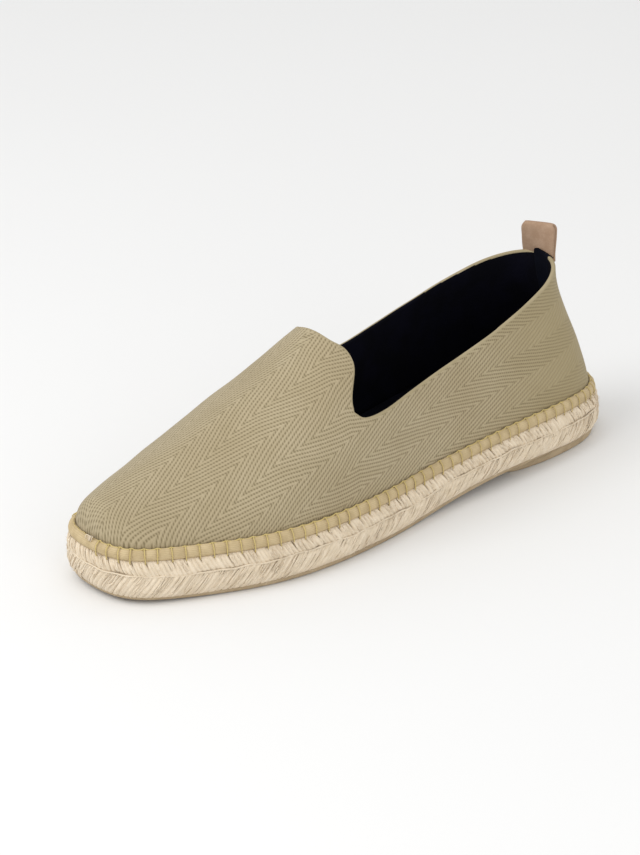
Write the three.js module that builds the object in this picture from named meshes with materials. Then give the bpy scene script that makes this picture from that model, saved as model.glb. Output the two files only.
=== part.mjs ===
// Slip-on espadrille, left shoe. Millimetres, +Z up, toe towards -Y, outer (lateral) side towards +X.
// The origin is on the floor, under the middle of the shoe.
import * as THREE from 'three';

// ---- Driving dimensions ----
const LENGTH = 285;
const HEEL_TIP_X = 3.5;
const TOE_TIP_X = -9.5;
const HEEL_LIFT = 4.8;
const LIFT_END = 0.262;
const ARCH = { from: 0.27, to: 0.53 };
const TOE_SPRING = { from: 0.8, rise: 2.6 };
const OUTSOLE = { thick: 2.5, inset: 2.5 };
const LIFT_INSET = { heel: 2.7, breast: 4.4, from: 0.05, to: 0.19 };
const RAND = { height: 5.4 };
const UPPER = { inset: 4.5, wall: 2 };
const INSOLE = { thick: 3, inset: 6.8 };
const GAP = 0.3;
const NOTCH = 0.587;
const NOTCH_START = 0.53;
const TAB = { width: 17, height: 14, leather: 1.3, corner: 1.2, foot: 18, twist: 28, aside: -1.5 };

// Half widths of the jute sole each side of the centre line; `at` runs 0 at the heel back to 1 at the toe.
const OUTLINE = [
  { at: 0.03, lateral: 25.5, medial: 17 },
  { at: 0.1, lateral: 36.6, medial: 30 },
  { at: 0.2, lateral: 40.6, medial: 36.4 },
  { at: 0.32, lateral: 42, medial: 35.3 },
  { at: 0.44, lateral: 43.9, medial: 31.8 },
  { at: 0.56, lateral: 48.6, medial: 36.6 },
  { at: 0.68, lateral: 50, medial: 47.3 },
  { at: 0.78, lateral: 45.4, medial: 49.6 },
  { at: 0.87, lateral: 35.1, medial: 43.5 },
  { at: 0.94, lateral: 25.1, medial: 35.8 },
  { at: 0.985, lateral: 13.6, medial: 25.8 },
];

// Height above the floor of the jute's top edge.
const JUTE_TOP = [
  { at: 0, z: 18.2 },
  { at: 0.05, z: 20 },
  { at: 0.1, z: 21.2 },
  { at: 0.25, z: 22 },
  { at: 0.45, z: 19.3 },
  { at: 0.65, z: 18.7 },
  { at: 0.85, z: 19.4 },
  { at: 0.95, z: 20.6 },
  { at: 1, z: 21.6 },
];

// Side profile of the jute: `up` is the share of its height, `inset` is how far in from the widest line.
const JUTE_EDGE = [
  { up: 0, inset: 2.6 },
  { up: 0.12, inset: 1.1 },
  { up: 0.35, inset: 0 },
  { up: 0.7, inset: 0.1 },
  { up: 0.9, inset: 0.7 },
  { up: 1, inset: 1.8 },
];

// Section of the rand, outer face first: `up` in mm above the jute.
const RAND_SECTION = [
  { up: 0.3, inset: 1.9 },
  { up: 2.4, inset: 1.5 },
  { up: 4.2, inset: 2.1 },
  { up: 5.4, inset: 3.2 },
  { up: 5.4, inset: 4.2 },
  { up: 0.3, inset: 4.2 },
];

// The last: height and sideways place of the ridge line that every section closes on.
const RIDGE = [
  { at: 0, z: 102, x: 2 },
  { at: 0.15, z: 111, x: 2 },
  { at: 0.3, z: 116, x: 2 },
  { at: 0.45, z: 106.5, x: 3.2 },
  { at: 0.58, z: 90.4, x: 5 },
  { at: 0.64, z: 79.8, x: 3.8 },
  { at: 0.7, z: 71, x: 1.5 },
  { at: 0.8, z: 56.6, x: -4.5 },
  { at: 0.9, z: 46, x: -9 },
  { at: 1, z: 36.3, x: -10.5 },
];
const HEEL_FAN = 0.26;
const TOE_FAN = 0.045;

// Fullness of the vamp sections: 2 is an ellipse, less is more like a tent.
const FULLNESS = [
  { at: 0.4, power: 1.9 },
  { at: 0.6, power: 1.95 },
  { at: 0.72, power: 1.8 },
  { at: 0.86, power: 1.62 },
  { at: 1, power: 1.75 },
];

// How far the heel counter leans in towards the ridge as it rises.
const COUNTER = [
  { up: 0, lean: 0 },
  { up: 0.2, lean: 0.07 },
  { up: 0.4, lean: 0.17 },
  { up: 0.52, lean: 0.224 },
  { up: 0.62, lean: 0.249 },
  { up: 0.72, lean: 0.258 },
  { up: 1, lean: 0.28 },
];
const COUNTER_BLEND = { from: 0.28, to: 0.52 };

// Height of the collar edge from the heel back forward to the notch beside the tongue.
const COLLAR = [
  { at: 0, outer: 87.6, inner: 87.6 },
  { at: 0.12, outer: 80.5, inner: 81.5 },
  { at: 0.25, outer: 72, inner: 73.6 },
  { at: 0.38, outer: 65.2, inner: 67.4 },
  { at: 0.47, outer: 61.2, inner: 62.8 },
  { at: 0.53, outer: 59, inner: 59.9 },
  { at: 0.56, outer: 58.9, inner: 59.3 },
  { at: 0.577, outer: 60.6, inner: 60.8 },
  { at: 0.587, outer: 63.5, inner: 63.5 },
];

// How far the tongue's edge lies behind the notch, by share of the height left above the notch.
const TONGUE = [
  { up: 0, back: 0 },
  { up: 0.1, back: 0.004 },
  { up: 0.2, back: 0.015 },
  { up: 0.3, back: 0.027 },
  { up: 0.4, back: 0.03 },
  { up: 0.52, back: 0.027 },
  { up: 0.65, back: 0.019 },
  { up: 0.8, back: 0.014 },
  { up: 1, back: 0.012 },
];

const QUARTER_COLUMNS = 20;
const NOTCH_COLUMNS = 6;
const VAMP_COLUMNS = 19;
const LOWER_ROWS = 6;
const UPPER_ROWS = 12;

// ---- Curves ----
// Smooth curve through points: the bending at each point is relaxed until both sides agree.
function smoothCurve(xs, ys, closed = false) {
  const last = xs.length - 1;
  const bend = new Array(last + 1).fill(0);
  for (let pass = 0; pass < 60; pass += 1) {
    for (let i = closed ? 0 : 1; i < last; i += 1) {
      const before = i === 0 ? last - 1 : i - 1;
      const h0 = i === 0 ? xs[last] - xs[before] : xs[i] - xs[before];
      const h1 = xs[i + 1] - xs[i];
      const turn = (ys[i + 1] - ys[i]) / h1 - (ys[i] - ys[before]) / h0;
      bend[i] = (6 * turn - h0 * bend[before] - h1 * bend[i + 1]) / (2 * (h0 + h1));
    }
    if (closed) {
      bend[last] = bend[0];
    }
  }
  return (x) => {
    let k = 0;
    while (k < last - 1 && x > xs[k + 1]) {
      k += 1;
    }
    const h = xs[k + 1] - xs[k];
    const a = (xs[k + 1] - x) / h;
    const b = 1 - a;
    return a * ys[k] + b * ys[k + 1] + ((a ** 3 - a) * bend[k] + (b ** 3 - b) * bend[k + 1]) * h * h / 6;
  };
}

function column(rows, key, value) {
  return smoothCurve(rows.map((row) => row[key]), rows.map((row) => row[value]));
}

const clamp = THREE.MathUtils.clamp;
const ease = (x, from, to) => THREE.MathUtils.smoothstep(x, from, to);

const juteTop = column(JUTE_TOP, 'at', 'z');
const ridgeZ = column(RIDGE, 'at', 'z');
const ridgeX = column(RIDGE, 'at', 'x');
const fullness = column(FULLNESS, 'at', 'power');
const counter = column(COUNTER, 'up', 'lean');
const collarOuter = column(COLLAR, 'at', 'outer');
const collarInner = column(COLLAR, 'at', 'inner');
const tongueBack = column(TONGUE, 'up', 'back');
const juteEdge = column(JUTE_EDGE, 'up', 'inset');

// Underside of the rubber sheet: flat on the heel lift, flat on the floor at the ball, up at the toe.
function underside(t) {
  const heel = HEEL_LIFT * (1 - ease(t, ARCH.from, ARCH.to));
  const toe = Math.max(0, (t - TOE_SPRING.from) / (1 - TOE_SPRING.from));
  return heel + TOE_SPRING.rise * toe ** 2;
}

// ---- Outline of the sole ----
const outlinePoints = [
  [HEEL_TIP_X, LENGTH / 2],
  ...OUTLINE.map((row) => [row.lateral, LENGTH * (0.5 - row.at)]),
  [TOE_TIP_X, -LENGTH / 2],
  ...OUTLINE.map((row) => [-row.medial, LENGTH * (0.5 - row.at)]).reverse(),
  [HEEL_TIP_X, LENGTH / 2],
];
const outlineSteps = [0];
for (let i = 1; i < outlinePoints.length; i += 1) {
  const [x0, y0] = outlinePoints[i - 1];
  const [x1, y1] = outlinePoints[i];
  outlineSteps.push(outlineSteps[i - 1] + Math.hypot(x1 - x0, y1 - y0) ** 0.75);
}
const outlineX = smoothCurve(outlineSteps, outlinePoints.map((p) => p[0]), true);
const outlineY = smoothCurve(outlineSteps, outlinePoints.map((p) => p[1]), true);
const TOE_STEP = outlineSteps[OUTLINE.length + 1];
const FULL_TURN = outlineSteps[outlineSteps.length - 1];

// The place along the outline with the wanted share of the length, on one side of the shoe.
function outlineStep(t, side) {
  let heel = side > 0 ? 0 : FULL_TURN;
  let toe = TOE_STEP;
  for (let i = 0; i < 40; i += 1) {
    const middle = (heel + toe) / 2;
    if (0.5 - outlineY(middle) / LENGTH < t) {
      heel = middle;
    } else {
      toe = middle;
    }
  }
  return (heel + toe) / 2;
}

function outlinePoint(t, side, inset) {
  const step = t <= 0 ? 0 : t >= 1 ? TOE_STEP : outlineStep(t, side);
  const e = 0.01;
  const dx = outlineX(step + e) - outlineX(Math.max(step - e, 0));
  const dy = outlineY(step + e) - outlineY(Math.max(step - e, 0));
  const length = Math.hypot(dx, dy);
  return { x: outlineX(step) + (dy / length) * inset, y: outlineY(step) - (dx / length) * inset };
}

const share = (y) => clamp(0.5 - y / LENGTH, 0, 1);

// ---- Surface of the last ----
// Sections fan out round the heel and the toe: each outline point closes on its own ridge point.
function ridgeShare(t) {
  if (t < 2 * HEEL_FAN) {
    return HEEL_FAN + t ** 2 / (4 * HEEL_FAN);
  }
  const left = Math.max(1 - t, 0.02);
  return left < 2 * TOE_FAN ? 1 - TOE_FAN - left ** 2 / (4 * TOE_FAN) : t;
}

function lastPoint(t, side, up) {
  const foot = outlinePoint(t, side, UPPER.inset);
  const s = ridgeShare(t);
  const base = juteTop(share(foot.y)) + RAND.height;
  const h = clamp(up, 0, 1);
  const power = fullness(Math.max(s, FULLNESS[0].at));
  const vamp = 1 - (1 - h ** power) ** (1 / power);
  const blend = ease(s, COUNTER_BLEND.from, COUNTER_BLEND.to);
  const lean = counter(h) * (1 - blend) + vamp * blend;
  return new THREE.Vector3(
    foot.x + (ridgeX(s) - foot.x) * lean,
    foot.y + (LENGTH * (0.5 - s) - foot.y) * lean,
    base + (ridgeZ(s) - base) * up,
  );
}

// ---- Columns round the shoe ----
// Heel back first, down the lateral side to the toe, back up the medial side. Each side has the same shares.
function sideShares() {
  const shares = [];
  for (let k = 1; k <= QUARTER_COLUMNS; k += 1) {
    shares.push(NOTCH_START * (1 - Math.cos((Math.PI / 2) * (k / QUARTER_COLUMNS))));
  }
  for (let k = 1; k <= NOTCH_COLUMNS; k += 1) {
    shares.push(NOTCH_START + (NOTCH - NOTCH_START) * (k / NOTCH_COLUMNS));
  }
  for (let k = 1; k < VAMP_COLUMNS; k += 1) {
    shares.push(1 - (1 - NOTCH) * (1 - Math.cos((Math.PI / 2) * (1 - k / VAMP_COLUMNS))));
  }
  return shares;
}
const SIDE = sideShares();
const COLUMNS = [
  { t: 0, side: 1 },
  ...SIDE.map((t) => ({ t, side: 1 })),
  { t: 1, side: 1 },
  ...SIDE.map((t) => ({ t, side: -1 })).reverse(),
];

// ---- Meshes ----
class Shell {
  constructor() {
    this.points = [];
    this.known = new Map();
    this.faces = [];
  }

  point(p) {
    const key = `${p.x.toFixed(4)},${p.y.toFixed(4)},${p.z.toFixed(4)}`;
    if (!this.known.has(key)) {
      this.known.set(key, this.points.length);
      this.points.push(new THREE.Vector3(p.x, p.y, p.z));
    }
    return this.known.get(key);
  }

  triangle(a, b, c) {
    if (a !== b && b !== c && c !== a) {
      this.faces.push([a, b, c]);
    }
  }

  quad(a, b, c, d) {
    this.triangle(a, b, c);
    this.triangle(a, c, d);
  }

  // Strip between two closed rings, the upper ring to the left of the direction of travel.
  band(lower, upper) {
    for (let i = 0; i < lower.length; i += 1) {
      const next = (i + 1) % lower.length;
      this.quad(lower[i], upper[i], upper[next], lower[next]);
    }
  }

  // Flat-across lid on a ring whose two sides mirror each other about its first point.
  lid(ring, facesUp) {
    const n = ring.length;
    for (let i = 0; i < n / 2; i += 1) {
      const a = ring[i];
      const b = ring[i + 1];
      const c = ring[n - i - 1];
      const d = ring[(n - i) % n];
      if (facesUp) {
        this.quad(d, c, b, a);
      } else {
        this.quad(a, b, c, d);
      }
    }
  }

  geometry() {
    const made = new THREE.BufferGeometry();
    made.setAttribute('position', new THREE.Float32BufferAttribute(this.points.flatMap((p) => p.toArray()), 3));
    made.setIndex(this.faces.flat());
    made.computeVertexNormals();
    return made;
  }
}

// Solid built up from rings round the sole, each with its inset and its height at every share of the length.
function stackedRings(rings, closed) {
  const shell = new Shell();
  const made = rings.map((ring) => COLUMNS.map(({ t, side }) => {
    const p = outlinePoint(t, side, ring.inset);
    return shell.point({ x: p.x, y: p.y, z: ring.z(share(p.y)) });
  }));
  for (let i = 1; i < made.length; i += 1) {
    shell.band(made[i - 1], made[i]);
  }
  if (closed) {
    shell.band(made[made.length - 1], made[0]);
  } else {
    shell.lid(made[0], false);
    shell.lid(made[made.length - 1], true);
  }
  return shell.geometry();
}

function outsoleGeometry() {
  return stackedRings([
    { inset: OUTSOLE.inset + 0.4, z: (t) => underside(t) },
    { inset: OUTSOLE.inset, z: (t) => underside(t) + 0.5 },
    { inset: OUTSOLE.inset, z: (t) => underside(t) + OUTSOLE.thick },
  ], false);
}

function juteGeometry() {
  const bottom = (t) => underside(t) + OUTSOLE.thick + GAP;
  return stackedRings([0, 0.12, 0.35, 0.7, 0.9, 1].map((up) => ({
    inset: juteEdge(up),
    z: (t) => bottom(t) + (juteTop(t) - bottom(t)) * up,
  })), false);
}

function randGeometry() {
  return stackedRings(RAND_SECTION.map((row) => ({
    inset: row.inset,
    z: (t) => juteTop(t) + row.up,
  })), true);
}

function insoleGeometry() {
  return stackedRings([
    { inset: INSOLE.inset, z: (t) => juteTop(t) + GAP },
    { inset: INSOLE.inset, z: (t) => juteTop(t) + GAP + INSOLE.thick - 0.6 },
    { inset: INSOLE.inset + 0.6, z: (t) => juteTop(t) + GAP + INSOLE.thick },
  ], false);
}

// Heel lift: drawn in from the sole's edge, more so towards the breast, which is straight with round corners.
function liftGeometry() {
  const shell = new Shell();
  const breast = 0.17;
  const halfRing = (inset) => {
    const half = [];
    for (let k = 0; k <= 14; k += 1) {
      const t = breast * (1 - Math.cos((Math.PI / 2) * (k / 14)));
      const drawn = inset + (LIFT_INSET.breast - LIFT_INSET.heel) * ease(t, LIFT_INSET.from, LIFT_INSET.to);
      half.push([outlinePoint(t, 1, drawn), outlinePoint(t, -1, drawn)]);
    }
    const [outer, inner] = half[half.length - 1];
    const reach = LENGTH * (LIFT_END - breast);
    for (let k = 1; k <= 10; k += 1) {
      const angle = (Math.PI / 2) * (k / 10);
      const across = Math.cos(angle) ** 0.13;
      const ahead = reach * Math.sin(angle) ** 0.9;
      const middle = (outer.x + inner.x) / 2;
      const wide = (outer.x - inner.x) / 2;
      half.push([
        { x: middle + wide * across, y: outer.y - ahead },
        { x: middle - wide * across, y: inner.y - ahead },
      ]);
    }
    half[half.length - 1][1] = half[half.length - 1][0];
    return half;
  };
  const ring = (inset, z) => {
    const half = halfRing(inset);
    const loop = [...half.map((pair) => pair[0]), ...half.slice(1, -1).map((pair) => pair[1]).reverse()];
    return loop.map((p) => shell.point({ x: p.x, y: p.y, z }));
  };
  const rings = [ring(LIFT_INSET.heel + 0.5, 0), ring(LIFT_INSET.heel, 0.6), ring(LIFT_INSET.heel, HEEL_LIFT - GAP)];
  shell.band(rings[0], rings[1]);
  shell.band(rings[1], rings[2]);
  shell.lid(rings[0], false);
  shell.lid(rings[2], true);
  return shell.geometry();
}

// ---- Upper ----
const baseZ = (t) => juteTop(t) + RAND.height;

function edgeUp(t, side) {
  const at = Math.min(t, NOTCH);
  const base = baseZ(at);
  const z = side > 0 ? collarOuter(at) : collarInner(at);
  return (z - base) / (ridgeZ(ridgeShare(at)) - base);
}

// One column of outer points, bottom to top; beside the throat the top part leans back into the tongue.
function upperColumn(t, side) {
  const foot = outlinePoint(t, side, UPPER.inset);
  const edge = Math.asin(edgeUp(t, side));
  const column = [new THREE.Vector3(foot.x, foot.y, juteTop(share(foot.y)) + GAP)];
  for (let k = 0; k <= LOWER_ROWS; k += 1) {
    column.push(lastPoint(t, side, Math.sin(edge * (k / LOWER_ROWS))));
  }
  if (t < NOTCH - 1e-9) {
    return column;
  }
  const reach = 1 - ease(t, NOTCH, 0.88);
  for (let k = 1; k <= UPPER_ROWS; k += 1) {
    const part = k / UPPER_ROWS;
    const up = Math.sin(edge + (Math.PI / 2 - edge) * part);
    column.push(lastPoint(t - tongueBack(part) * reach, side, up));
  }
  return column;
}

function upperGeometry() {
  const shell = new Shell();
  const columns = COLUMNS.map(({ t, side }) => upperColumn(t, side).map((p) => shell.point(p)));
  columns.forEach((here, i) => {
    const next = columns[(i + 1) % columns.length];
    const rows = Math.min(here.length, next.length);
    for (let j = 1; j < rows; j += 1) {
      shell.quad(here[j - 1], here[j], next[j], next[j - 1]);
    }
  });
  thicken(shell, UPPER.wall, new Set(columns.flatMap((here) => [here[0], here[1]])));
  return shell.geometry();
}

// Give a sheet its thickness inwards, and close its free edges. Points in `upright` move level only.
function thicken(shell, thickness, upright) {
  const normals = shell.geometry().getAttribute('normal');
  const faces = shell.faces.slice();
  const count = shell.points.length;
  for (let i = 0; i < count; i += 1) {
    const normal = new THREE.Vector3().fromBufferAttribute(normals, i);
    if (upright.has(i)) {
      normal.setZ(0).normalize();
    }
    shell.points.push(shell.points[i].clone().addScaledVector(normal, -thickness));
  }
  const edges = new Map();
  faces.forEach((face) => face.forEach((a, k) => edges.set(`${a},${face[(k + 1) % 3]}`, [a, face[(k + 1) % 3]])));
  faces.forEach(([a, b, c]) => shell.triangle(a + count, c + count, b + count));
  edges.forEach(([a, b]) => {
    if (!edges.has(`${b},${a}`)) {
      shell.quad(b, a, a + count, b + count);
    }
  });
}

// ---- Pull tab: a leather strip folded into a low loop over the back of the collar ----
const TAB_PATH = [
  { across: -1, up: 0 },
  { across: -1.15, up: 0.3 },
  { across: -1.4, up: 0.65 },
  { across: -1.45, up: 0.85 },
  { across: -1, up: 0.97 },
  { across: 0, up: 1 },
  { across: 1, up: 0.97 },
  { across: 1.45, up: 0.85 },
  { across: 1.4, up: 0.65 },
  { across: 1.15, up: 0.3 },
  { across: 1, up: 0 },
];

function tabGeometry() {
  const shell = new Shell();
  const top = lastPoint(0, 1, edgeUp(0, 1));
  const centre = top.clone().add(new THREE.Vector3(TAB.aside, -UPPER.wall / 2, GAP));
  const tall = TAB.height - TAB.leather / 2;
  const path = TAB_PATH.map(({ across, up }) => new THREE.Vector2(
    across,
    centre.z + up * tall,
  ));
  const rings = path.map((p, i) => {
    const before = path[Math.max(i - 1, 0)];
    const after = path[Math.min(i + 1, path.length - 1)];
    const flat = i === 0 || i === path.length - 1;
    const along = after.clone().sub(before).normalize();
    const out = flat ? new THREE.Vector2(i === 0 ? -1 : 1, 0) : new THREE.Vector2(-along.y, along.x);
    const up = TAB_PATH[i].up;
    const half = TAB.width / 2 - TAB.corner * Math.max(0, (up - 0.6) / 0.4) ** 2;
    const turn = THREE.MathUtils.degToRad(TAB.foot + (TAB.twist - TAB.foot) * up);
    const corner = (x, offset) => {
      const y = p.x + out.x * offset;
      return shell.point({
        x: centre.x + x * Math.cos(turn) - y * Math.sin(turn),
        y: centre.y + x * Math.sin(turn) + y * Math.cos(turn),
        z: p.y + out.y * offset,
      });
    };
    return [
      corner(-half, TAB.leather / 2),
      corner(half, TAB.leather / 2),
      corner(half, -TAB.leather / 2),
      corner(-half, -TAB.leather / 2),
    ];
  });
  for (let i = 1; i < rings.length; i += 1) {
    shell.band(rings[i], rings[i - 1]);
  }
  const first = rings[0];
  const end = rings[rings.length - 1];
  shell.quad(first[3], first[2], first[1], first[0]);
  shell.quad(end[0], end[1], end[2], end[3]);
  return shell.geometry();
}

// ---- Assembly ----
function piece(name, geometry, color, roughness) {
  const mesh = new THREE.Mesh(geometry, new THREE.MeshStandardMaterial({ color, roughness, metalness: 0 }));
  mesh.name = name;
  return mesh;
}

const espadrille = new THREE.Group();
espadrille.add(
  piece('heel_lift', liftGeometry(), 0xa19380, 0.75),
  piece('outsole', outsoleGeometry(), 0x9c8a72, 0.75),
  piece('jute_sole', juteGeometry(), 0xd5c5ab, 0.95),
  piece('rand', randGeometry(), 0xc4b08c, 0.9),
  piece('insole', insoleGeometry(), 0x20283a, 0.9),
  piece('upper', upperGeometry(), 0xb1a282, 0.9),
  piece('pull_tab', tabGeometry(), 0xa48972, 0.6),
);

export default espadrille;
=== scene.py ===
"""Slip-on espadrille, left shoe. Sizes are worked in millimetres and written to Blender in metres."""
import math

import bpy
import numpy as np
from mathutils import Matrix, Vector


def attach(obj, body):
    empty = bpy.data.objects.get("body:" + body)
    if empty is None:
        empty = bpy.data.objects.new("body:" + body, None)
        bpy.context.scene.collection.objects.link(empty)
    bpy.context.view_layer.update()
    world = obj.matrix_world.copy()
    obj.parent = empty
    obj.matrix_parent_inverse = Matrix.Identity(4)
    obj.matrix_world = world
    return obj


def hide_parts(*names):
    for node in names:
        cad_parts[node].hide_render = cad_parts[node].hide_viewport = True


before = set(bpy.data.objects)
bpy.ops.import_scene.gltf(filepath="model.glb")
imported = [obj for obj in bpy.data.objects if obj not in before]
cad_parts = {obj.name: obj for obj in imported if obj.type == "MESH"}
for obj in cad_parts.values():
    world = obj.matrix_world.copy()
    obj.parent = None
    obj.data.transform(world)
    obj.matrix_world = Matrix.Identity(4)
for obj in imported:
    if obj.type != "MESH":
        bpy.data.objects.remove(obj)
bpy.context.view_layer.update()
MM = 0.001
RNG = np.random.default_rng(7)

# ---------------------------------------------------------------- sizes of the shoe, mm
LENGTH = 285.0
HEEL_TIP_X = 3.5
TOE_TIP_X = -9.5
HEEL_LIFT = 4.8
# shares of the length where the lift's straight sides end and where its front edge is
LIFT_BREAST = 0.17
LIFT_END = 0.262
# inset of the lift at the heel and at its front
LIFT_INSET = (2.7, 4.4)
# shares of the length between which the underside comes down from the lift to the floor
ARCH = (0.27, 0.53)
# share of the length where the toe starts to rise, and how far it rises
TOE_SPRING = (0.8, 2.6)
OUTSOLE_THICK = 2.5
OUTSOLE_INSET = 2.5
RAND_HEIGHT = 5.4
UPPER_INSET = 4.5
WALL = 2.0
GAP = 0.3
# shares of the length where the collar starts to turn up and where it meets the tongue's side
NOTCH_START = 0.53
NOTCH = 0.587
# how far the sections fan out round the heel and round the toe, as a share of the length
HEEL_FAN = 0.26
TOE_FAN = 0.045
# shares of the length between which the heel's leaning wall turns into the vamp's arch
COUNTER_BLEND = (0.28, 0.52)
# how far the rolled collar edge stands above the cloth's own edge
EDGE_ROLL = 0.9
# distance from the ridge line of the column edge that the other columns are placed from
EDGE_COLUMN = 62.4

# share of the length, half width on the outer side, half width on the inner side
OUTLINE = [
    (0.03, 25.5, 17.0), (0.1, 36.6, 30.0), (0.2, 40.6, 36.4), (0.32, 42.0, 35.3),
    (0.44, 43.9, 31.8), (0.56, 48.6, 36.6), (0.68, 50.0, 47.3), (0.78, 45.4, 49.6),
    (0.87, 35.1, 43.5), (0.94, 25.1, 35.8), (0.985, 13.6, 25.8),
]
# share of the length, height of the jute's top edge
JUTE_TOP = [
    (0, 18.2), (0.05, 20), (0.1, 21.2), (0.25, 22), (0.45, 19.3),
    (0.65, 18.7), (0.85, 19.4), (0.95, 20.6), (1, 21.6),
]
# share of the jute's height, inset from the widest line
JUTE_EDGE = [(0, 2.6), (0.12, 1.1), (0.35, 0), (0.7, 0.1), (0.9, 0.7), (1, 1.8)]
# share of the length, height and sideways place of the last's ridge
RIDGE = [
    (0, 102, 2), (0.15, 111, 2), (0.3, 116, 2), (0.45, 106.5, 3.2), (0.58, 90.4, 5), (0.64, 79.8, 3.8),
    (0.7, 71, 1.5), (0.8, 56.6, -4.5), (0.9, 46, -9), (1, 36.3, -10.5),
]
# share of the length, fullness of the vamp's arch: 2 is an ellipse, less is more like a tent
FULLNESS = [(0.4, 1.9), (0.6, 1.95), (0.72, 1.8), (0.86, 1.62), (1, 1.75)]
# share of the height, how far the heel's wall leans in to the ridge
COUNTER = [(0, 0), (0.2, 0.07), (0.4, 0.17), (0.52, 0.224), (0.62, 0.249), (0.72, 0.258), (1, 0.28)]
# share of the length, height of the collar edge on the outer side and on the inner side
COLLAR = [
    (0, 87.6, 87.6), (0.12, 80.5, 81.5), (0.25, 72, 73.6), (0.38, 65.2, 67.4), (0.47, 61.2, 62.8),
    (0.53, 59, 59.9), (0.56, 58.9, 59.3), (0.577, 60.6, 60.8), (0.587, 63.5, 63.5),
]
# share of the way up the tongue's side, how far its edge lies behind the notch
TONGUE = [
    (0, 0), (0.1, 0.004), (0.2, 0.015), (0.3, 0.027), (0.4, 0.03),
    (0.52, 0.027), (0.65, 0.019), (0.8, 0.014), (1, 0.012),
]
# how the cloth's columns drift off the last's own lines: distance forward, drift, both in mm
WEAVE_DRIFT = [
    (0, 14.5), (25, 13.9), (50, 12.4), (75, 9.1), (100, 6.1), (125, 3.6), (150, 1.6),
    (175, 1.2), (200, 0.3), (215, -0.5), (227, 0.2), (250, 3.4), (275, 6.5), (300, 9.5),
]
# soft waves of the canvas: share of the length, share of the height (0 feather, 1 ridge),
# side (1 outer, -1 inner, 0 both), length along the shoe, width up the shoe, depth inwards in mm
WAVES = [
    (0.76, 0.5, 0, 0.04, 0.3, 0.45), (0.82, 0.45, 1, 0.03, 0.3, -0.3), (0.655, 0.5, 1, 0.05, 0.2, 0.6),
    (0.44, 0.22, 1, 0.1, 0.16, 0.8), (0.3, 0.3, 1, 0.07, 0.16, -0.4), (0.44, 0.22, -1, 0.1, 0.16, 0.8),
    (0.53, 0.3, 1, 0.035, 0.2, -0.45), (0.12, 0.25, 0, 0.06, 0.14, 0.4),
]


# ---------------------------------------------------------------- curves
def smooth(xs, ys, closed=False):
    """Smooth curve through points, with equal bending either side of each one."""
    xs, ys = np.asarray(xs, float), np.asarray(ys, float)
    n = len(xs) - 1
    h = np.diff(xs)
    a, r = np.zeros((n + 1, n + 1)), np.zeros(n + 1)
    for i in range(0 if closed else 1, n):
        b = i - 1 if i else n - 1
        a[i, b] += h[b]
        a[i, i] += 2 * (h[b] + h[i])
        a[i, i + 1] += h[i]
        r[i] = 6 * ((ys[i + 1] - ys[i]) / h[i] - (ys[i] - ys[b] if i else ys[n] - ys[n - 1]) / h[b])
    if closed:
        a[n, n], a[n, 0] = 1, -1
    else:
        a[0, 0] = a[n, n] = 1
    bend = np.linalg.solve(a, r)

    def at(x):
        x = np.asarray(x, float)
        k = np.clip(np.searchsorted(xs, x, side="right") - 1, 0, n - 1)
        w = h[k]
        p = (xs[k + 1] - x) / w
        q = 1 - p
        return p * ys[k] + q * ys[k + 1] + ((p**3 - p) * bend[k] + (q**3 - q) * bend[k + 1]) * w * w / 6

    return at


def table(rows, value=1):
    """Smooth curve of one column of a table over its first column."""
    return smooth([row[0] for row in rows], [row[value] for row in rows])


def ease(x, lo, hi):
    """0 up to lo, 1 from hi on, and a soft step between."""
    q = np.clip((np.asarray(x, float) - lo) / (hi - lo), 0, 1)
    return q * q * (3 - 2 * q)


jute_top, jute_edge = table(JUTE_TOP), table(JUTE_EDGE)
ridge_z, ridge_x = table(RIDGE), table(RIDGE, 2)
fullness, counter = table(FULLNESS), table(COUNTER)
collar_z, collar_inner_z, tongue_back = table(COLLAR), table(COLLAR, 2), table(TONGUE)
weave_drift = table(WEAVE_DRIFT)


def underside(t):
    """Height of the rubber sheet's underside."""
    heel = HEEL_LIFT * (1 - ease(t, *ARCH))
    toe = np.maximum(0, (t - TOE_SPRING[0]) / (1 - TOE_SPRING[0]))
    return heel + TOE_SPRING[1] * toe**2


def jute_bottom(t):
    return underside(t) + OUTSOLE_THICK + 0.1


corners = [(HEEL_TIP_X, LENGTH / 2)]
corners += [(row[1], LENGTH * (0.5 - row[0])) for row in OUTLINE]
corners += [(TOE_TIP_X, -LENGTH / 2)]
corners += [(-row[2], LENGTH * (0.5 - row[0])) for row in reversed(OUTLINE)]
corners = np.array(corners + corners[:1])
steps = np.r_[0, np.cumsum(np.hypot(*np.diff(corners, axis=0).T) ** 0.75)]
outline_x, outline_y = smooth(steps, corners[:, 0], True), smooth(steps, corners[:, 1], True)
TOE_STEP, FULL_TURN = steps[len(OUTLINE) + 1], steps[-1]


def outline_at_step(u, inset=0.0):
    """Points of the outline moved inwards, at steps round it."""
    u = np.asarray(u, float) % FULL_TURN
    e = 0.01
    dx = outline_x((u + e) % FULL_TURN) - outline_x((u - e) % FULL_TURN)
    dy = outline_y((u + e) % FULL_TURN) - outline_y((u - e) % FULL_TURN)
    n = np.hypot(dx, dy)
    return outline_x(u) + dy / n * inset, outline_y(u) - dx / n * inset


def step_of(t, side):
    """Steps at which the outline reaches these shares of the length, on one side."""
    t = np.asarray(t, float)
    heel = np.zeros_like(t) if side > 0 else np.full_like(t, FULL_TURN)
    toe = np.full_like(t, TOE_STEP)
    for _ in range(40):
        mid = (heel + toe) / 2
        before = 0.5 - outline_y(mid) / LENGTH < t
        heel, toe = np.where(before, mid, heel), np.where(before, toe, mid)
    mid = (heel + toe) / 2
    mid = np.where(t <= 0, 0.0 if side > 0 else FULL_TURN, mid)
    return np.where(t >= 1, TOE_STEP, mid)


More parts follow.
